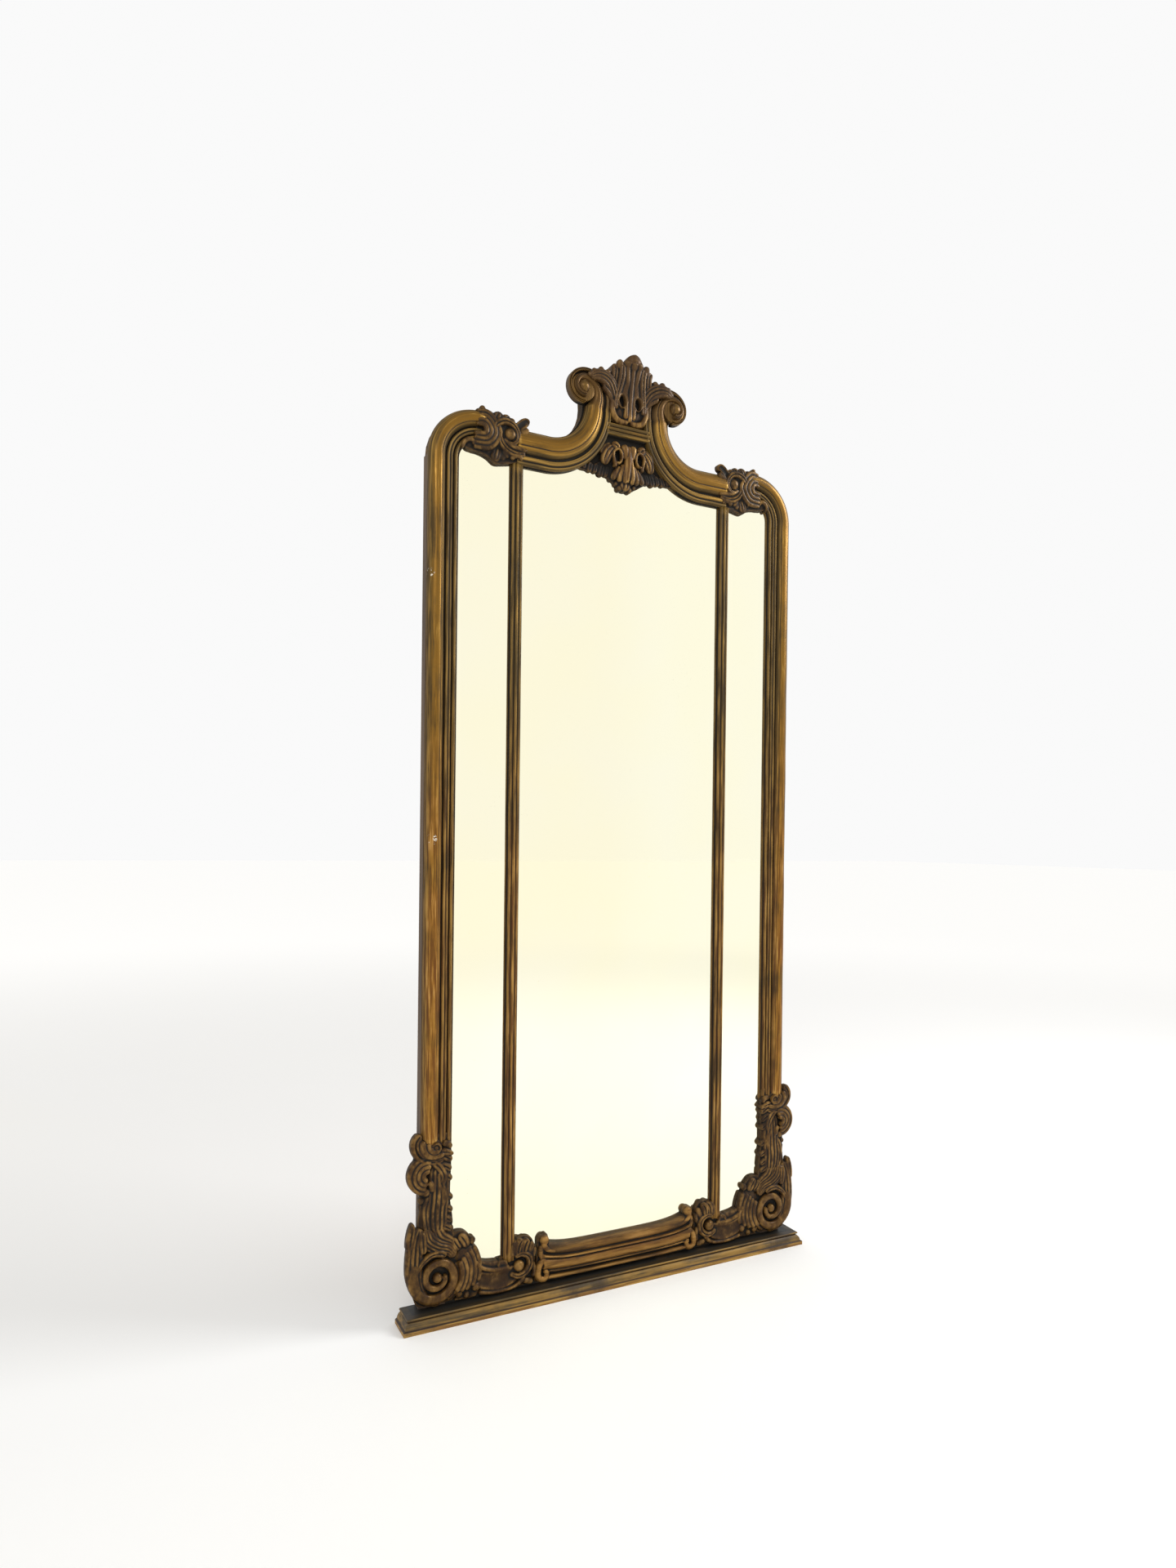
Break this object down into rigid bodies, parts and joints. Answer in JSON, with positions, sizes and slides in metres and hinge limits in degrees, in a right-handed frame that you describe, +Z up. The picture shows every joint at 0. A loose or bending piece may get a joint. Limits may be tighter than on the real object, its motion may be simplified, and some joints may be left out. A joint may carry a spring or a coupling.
{
  "type": "trumeau mirror",
  "caption": "Tall giltwood trumeau mirror with shaped crest, reeded mullions and carved scroll feet on a moulded plinth.",
  "frame": {"origin": "middle of the plinth's underside, on the floor", "axes": "+Z up, +X to the mirror's right seen from the front, the mirror faces -Y"},
  "size_m": [1.02, 0.082, 2.113],
  "materials": {
    "gilt_moulding": "rubbed gold leaf over red-brown bole on wood",
    "gilt_carving": "dark bronze-toned gilding with blackened hollows",
    "plinth_gilt": "worn gilding with dark quirks",
    "ebonised": "black-brown paint, satin",
    "carcase_wood": "dark stained softwood edges",
    "pine": "bare aged pine",
    "mirror_glass": "silvered plate, slightly foxed",
    "screw_steel": "plain steel"
  },
  "bodies": {
    "root": {"backboard_centre": "pine", "backboard_left": "pine", "backboard_right": "pine", "base_leaf_left": "gilt_carving", "base_leaf_right": "gilt_carving", "base_volute_left": "gilt_carving", "base_volute_right": "gilt_carving", "bottom_panel": "gilt_moulding", "bottom_rail": "carcase_wood", "c_scroll_left": "gilt_moulding", "c_scroll_right": "gilt_moulding", "cap_leaf_left": "gilt_carving", "cap_leaf_right": "gilt_carving", "corner_clasp_left": "gilt_carving", "corner_clasp_right": "gilt_carving", "crest_board": "carcase_wood", "crest_crossbar": "gilt_moulding", "crest_pendant_leaf": "gilt_carving", "crest_upper_leaf": "gilt_carving", "mid_stile_left": "pine", "mid_stile_right": "pine", "mirror_plate_centre": "mirror_glass", "mirror_plate_left": "mirror_glass", "mirror_plate_right": "mirror_glass", "mullion_left": "gilt_moulding", "mullion_right": "gilt_moulding", "plinth_board": "ebonised", "plinth_moulding_front": "plinth_gilt", "plinth_moulding_left": "plinth_gilt", "plinth_moulding_right": "plinth_gilt", "plinth_screws": "screw_steel", "post_inner_blocks_left": "pine", "post_inner_blocks_right": "pine", "post_outer_blocks_left": "pine", "post_outer_blocks_right": "pine", "shoulder_moulding_left": "gilt_moulding", "shoulder_moulding_right": "gilt_moulding", "side_drop_left": "gilt_carving", "side_drop_right": "gilt_carving", "side_moulding_left": "gilt_moulding", "side_moulding_right": "gilt_moulding", "stile_blocks_left": "pine", "stile_blocks_right": "pine", "stile_left": "carcase_wood", "stile_right": "carcase_wood", "toe_scroll_left": "gilt_carving", "toe_scroll_right": "gilt_carving"}
  },
  "joints": []
}
